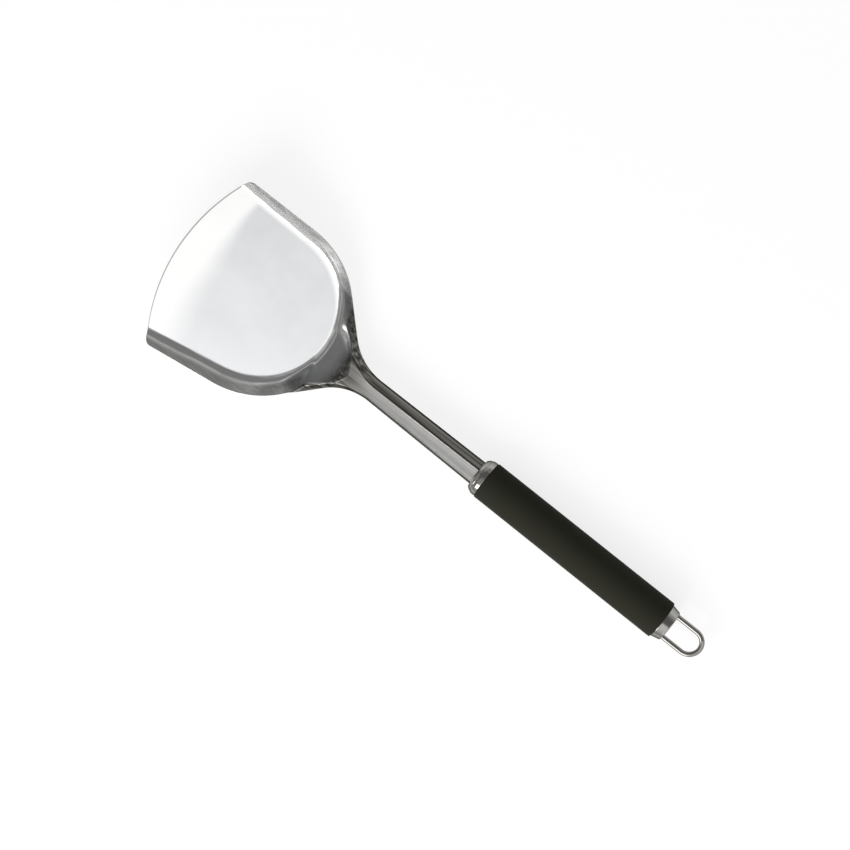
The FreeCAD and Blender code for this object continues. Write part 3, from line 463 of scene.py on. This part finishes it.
bladeSteel = sheetMaterial(sheetForm)
turnedSteel = steelMaterial("polishedStainlessTurned", "#9D9B97", 0.13)
wireSteel = steelMaterial("brightStainlessWire", "#96938E", 0.08)
gripRubber = rubberMaterial("softTouchRubberBlack", "#2A2A21", "#323229")
nylon = rubberMaterial("mouldedNylonDark", "#1A1A19", "#232321")
print("materials ready")

makeBlade(bladeForm, bladeSteel)
print("blade sheet built")

ferruleForm = {"length": 6.2, "mouth": 8.15, "nose": 8.9, "shoulder": 11.35, "skirt": 7.0, "inner": 9.2,
               "ringPlace": 2.35, "ringWidth": 0.22, "ringDepth": 0.32}


def makeFerrule(form, material):
    # a domed nose with one fine turned ring, and the thin skirt that sits inside the tube
    run = form["length"] - 1.4
    rise = form["shoulder"] - form["nose"]
    radius = (run ** 2 / rise + rise) / 2
    centre = (run, form["shoulder"] - radius)
    start = math.degrees(math.atan2(form["nose"] - centre[1], -run))
    profile = [(0.25, form["mouth"]), (0.05, form["mouth"] + 0.12), (0.0, form["mouth"] + 0.3),
               (0.0, form["nose"] - 0.1)]
    profile += [(x, r - form["ringDepth"] * math.exp(-((x - form["ringPlace"]) / form["ringWidth"]) ** 2))
                for x, r in arcPoints(centre, radius, start, 90, 40)]
    profile += arcPoints((form["length"] - 0.3, form["shoulder"] - 0.3), 0.3, 90, 0, 5)
    profile += [(form["length"], form["inner"]), (form["length"] + form["skirt"], form["inner"]),
                (form["length"] + form["skirt"], form["mouth"])]
    piece = turned("frontFerrule", profile, ferruleLow[0])
    return finishPiece(piece, "front_ferrule", material)


makeFerrule(ferruleForm, turnedSteel)

gripForm = {"radius": 11.745, "inner": 10.2, "round": 0.7, "length": 126.2}


def makeGrip(form, material):
    # a plain straight tube of rubber with rounded ends
    r = form["round"]
    profile = [(0, form["inner"])]
    profile += arcPoints((r, form["radius"] - r), r, 180, 90, 8)
    profile += [(x, form["radius"]) for x in np.linspace(4, form["length"] - 4, 40)]
    profile += arcPoints((form["length"] - r, form["radius"] - r), r, 90, 0, 8)
    profile += [(form["length"], form["inner"])]
    piece = turned("gripSleeve", profile, gripLow[0])
    return finishPiece(piece, "grip_sleeve", material)


makeGrip(gripForm, gripRubber)

capForm = {"radius": 10.7, "endRadius": 9.6, "length": 5.6, "round": 0.8, "wall": 1.2, "inner": 9.05}


def makeCap(form, material):
    # a slightly tapered cup with a rounded rim, closed at the end
    r = form["round"]
    profile = [(0, form["inner"]), (0, form["radius"] - 0.2), (0.12, form["radius"] - 0.05)]
    profile += [(x, form["radius"] + (form["endRadius"] - form["radius"]) * x / (form["length"] - r))
                for x in np.linspace(0.4, form["length"] - r, 12)]
    profile += arcPoints((form["length"] - r, form["endRadius"] - r), r, 80, 0, 8)
    profile += [(form["length"], 0.0), (form["length"] - form["wall"], 0.0),
                (form["length"] - form["wall"], form["inner"])]
    piece = turned("endCap", profile, capLow[0])
    return finishPiece(piece, "end_cap", material)


makeCap(capForm, turnedSteel)

wireForm = {"radius": 1.49, "half": 7.45, "straight": 13.3, "inset": 12.0, "hook": 3.4, "bend": 2.4}


def makeLoop(form, material):
    # a circle carried along the wire's line: hooked end, leg, half circle, leg, hooked end;
    # each ring lies square to the line, and the end rings are drawn together to a point
    half, bend = form["half"], form["bend"]
    legEnd = form["inset"] + form["straight"]
    turn = np.linspace(math.pi, math.pi / 2, 14)
    hook = np.stack([bend + bend * np.cos(turn), half - bend + bend * np.sin(turn)], -1)
    leg = np.stack([np.linspace(bend + 1, legEnd - 1, 24), np.full(24, half)], -1)
    turn = np.linspace(math.pi / 2, 0, 40)
    bow = np.stack([legEnd + half * np.cos(turn), half * np.sin(turn)], -1)
    side = np.concatenate([np.array([[0.0, half - form["hook"]]]), hook, leg, bow])
    path = np.concatenate([side, (side * [1, -1])[::-1][1:]])
    tangent = np.gradient(path, axis=0)
    tangent /= np.linalg.norm(tangent, axis=1)[:, None]
    path = np.concatenate([path[:1], path, path[-1:]])
    tangent = np.concatenate([tangent[:1], tangent, tangent[-1:]])
    radius = np.full((len(path), 1), form["radius"])
    radius[[0, -1]] = 0.0
    angle = np.linspace(0, 2 * math.pi, 32, endpoint=False)
    startX = capHigh[0] - form["inset"] * mm
    x = startX + (path[:, :1] - radius * np.cos(angle) * tangent[:, 1:]) * mm
    y = (path[:, 1:] + radius * np.cos(angle) * tangent[:, :1]) * mm
    z = axisZ + radius * np.sin(angle) * mm
    piece = gridMesh("hangingLoop", np.stack([x, y, z], -1), closeV=True)
    closeUp(piece)
    return finishPiece(piece, "hanging_loop", material)


makeLoop(wireForm, wireSteel)
print("handle pieces built")

for node, material in (("core_tube", turnedSteel), ("tang_insert", nylon),
                       ("tang_pin", turnedSteel), ("end_plug", nylon)):
    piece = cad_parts[node]
    piece.data.materials.clear()
    piece.data.materials.append(material)

tableForm = {"size": 6.0, "colour": "#8F8F8F", "glow": 0.8}


def makeTable(form):
    # pale table: the object's shadow falls on its plain colour, while the camera and the
    # metal also see an even glow over it, so that it reads as white
    material, tree = newMaterial("paleTable")
    path = addNode(tree, "ShaderNodeLightPath").outputs
    straight = addNode(tree, "ShaderNodeMath", {"operation": "MAXIMUM"}, {
        0: path["Is Camera Ray"], 1: path["Is Glossy Ray"]})
    seen = addNode(tree, "ShaderNodeMath", {"operation": "MAXIMUM"}, {
        0: straight.outputs[0], 1: path["Is Transmission Ray"]})
    strength = addNode(tree, "ShaderNodeMath", {"operation": "MULTIPLY"}, {
        0: seen.outputs[0], 1: form["glow"]})
    glow = addNode(tree, "ShaderNodeEmission", inputs={"Strength": strength.outputs[0]})
    lit = addNode(tree, "ShaderNodeBsdfDiffuse", inputs={"Color": hexColour(form["colour"])})
    both = addNode(tree, "ShaderNodeAddShader", inputs={0: lit.outputs[0], 1: glow.outputs[0]})
    addNode(tree, "ShaderNodeOutputMaterial", inputs={"Surface": both.outputs[0]})
    half = form["size"] / 2
    mesh = bpy.data.meshes.new("tableTop")
    corners = [(-half, -half, 0), (half, -half, 0), (half, half, 0), (-half, half, 0)]
    mesh.from_pydata(corners, [], [(0, 1, 2, 3)])
    mesh.materials.append(material)
    table = bpy.data.objects.new("tableTop", mesh)
    bpy.context.scene.collection.objects.link(table)


makeTable(tableForm)

studioForm = {"walls": (0.13, 0.42), "dark": 0.21, "ceiling": 0.5, "bank": 1.25, "bankRise": (-0.3, 0.95)}


def makeStudio(form):
    # soft studio round the object: uneven low walls, a dark band above them, a pale ceiling
    # patch and one wide bank of light over the front right; straight to the camera it is white
    world = bpy.data.worlds.new("studio")
    bpy.context.scene.world = world
    world.use_nodes = True
    tree = world.node_tree
    tree.nodes.clear()
    look = addNode(tree, "ShaderNodeTexCoord").outputs["Generated"]

    def towards(direction, start, stop, low, high):
        # smooth rise from low to high as the view turns towards a direction
        facing = addNode(tree, "ShaderNodeVectorMath", {"operation": "DOT_PRODUCT"}, {
            0: look, 1: direction})
        return addNode(tree, "ShaderNodeMapRange", {"interpolation_type": "SMOOTHSTEP"}, {
            "Value": facing.outputs["Value"], "From Min": start, "From Max": stop,
            "To Min": low, "To Max": high}).outputs["Result"]

    things = addNode(tree, "ShaderNodeTexNoise", inputs={"Vector": look, "Scale": 3.2, "Detail": 1.0})
    wall = addNode(tree, "ShaderNodeMapRange", inputs={
        "Value": things.outputs["Fac"], "From Min": 0.36, "From Max": 0.64,
        "To Min": form["walls"][0], "To Max": form["walls"][1]})
    low = towards((0, 0, 1), 0.28, 0.55, 1.0, 0.0)
    walls = addNode(tree, "ShaderNodeMath", {"operation": "MULTIPLY_ADD"}, {
        0: wall.outputs["Result"], 1: low, 2: form["dark"]})
    ceiling = towards((0, -0.35, 1), 0.78, 1.0, 0.0, form["ceiling"] - form["dark"])
    bankSide = towards((1, -0.9, 0), 0.3, 0.52, 0.0, form["bank"])
    bankRise = towards((0, 0, 1), *form["bankRise"], 0.0, 1.0)
    bank = addNode(tree, "ShaderNodeMath", {"operation": "MULTIPLY"}, {0: bankSide, 1: bankRise})
    dim = addNode(tree, "ShaderNodeMath", {"operation": "ADD"}, {0: walls.outputs[0], 1: ceiling})
    total = addNode(tree, "ShaderNodeMath", {"operation": "MAXIMUM"}, {
        0: dim.outputs[0], 1: bank.outputs[0]})
    straight = addNode(tree, "ShaderNodeLightPath").outputs["Is Camera Ray"]
    shown = addNode(tree, "ShaderNodeMath", {"operation": "MAXIMUM"}, {
        0: total.outputs[0], 1: straight})
    ambient = addNode(tree, "ShaderNodeBackground", inputs={
        "Color": (1, 1, 1, 1), "Strength": shown.outputs[0]})
    addNode(tree, "ShaderNodeOutputWorld", inputs={"Surface": ambient.outputs[0]})


makeStudio(studioForm)

lampForm = {"place": (0.125, -0.9, 0.86), "aim": (0, 0, 0), "size": (0.9, 0.6), "power": 6.5}


def softLamp(name, form):
    # a wide soft panel of light, turned towards the object
    lamp = bpy.data.lights.new(name, "AREA")
    lamp.shape = "RECTANGLE"
    lamp.size, lamp.size_y = form["size"]
    lamp.energy = form["power"]
    holder = bpy.data.objects.new(name, lamp)
    bpy.context.scene.collection.objects.link(holder)
    holder.location = form["place"]
    towards = Vector(form["aim"]) - Vector(form["place"])
    holder.rotation_euler = towards.to_track_quat("-Z", "Y").to_euler()


softLamp("sideSoftbox", lampForm)

cameraForm = {"alongLean": 6.49, "sideLean": 18.0, "roll": 38.57, "distance": 0.97846,
              "aimBeforeGrip": -0.04703, "aimSide": 0.0029, "lens": 72.47}


def makeCamera(form):
    # looks down on the tool, leaning a little towards the grip and to its left, and rolled
    along, sideways, roll = (math.radians(form[key]) for key in ("alongLean", "sideLean", "roll"))
    back = Vector((math.sin(along) * math.cos(sideways), math.sin(sideways),
                   math.cos(along) * math.cos(sideways)))
    aim = Vector((gripLow[0] + form["aimBeforeGrip"], form["aimSide"], axisZ))
    right = (Vector((1, 0, 0)) - back * back.x).normalized()
    up = back.cross(right)
    turnedRight = right * math.cos(roll) + up * math.sin(roll)
    turnedUp = up * math.cos(roll) - right * math.sin(roll)
    data = bpy.data.cameras.new("mainCamera")
    data.lens = form["lens"]
    data.sensor_width = 36
    camera = bpy.data.objects.new("mainCamera", data)
    bpy.context.scene.collection.objects.link(camera)
    rotation = Matrix((turnedRight, turnedUp, back)).transposed().to_4x4()
    camera.matrix_world = Matrix.Translation(aim + back * form["distance"]) @ rotation
    bpy.context.scene.camera = camera


makeCamera(cameraForm)
bpy.context.scene.view_settings.view_transform = "Standard"
print("stage, light and camera set")
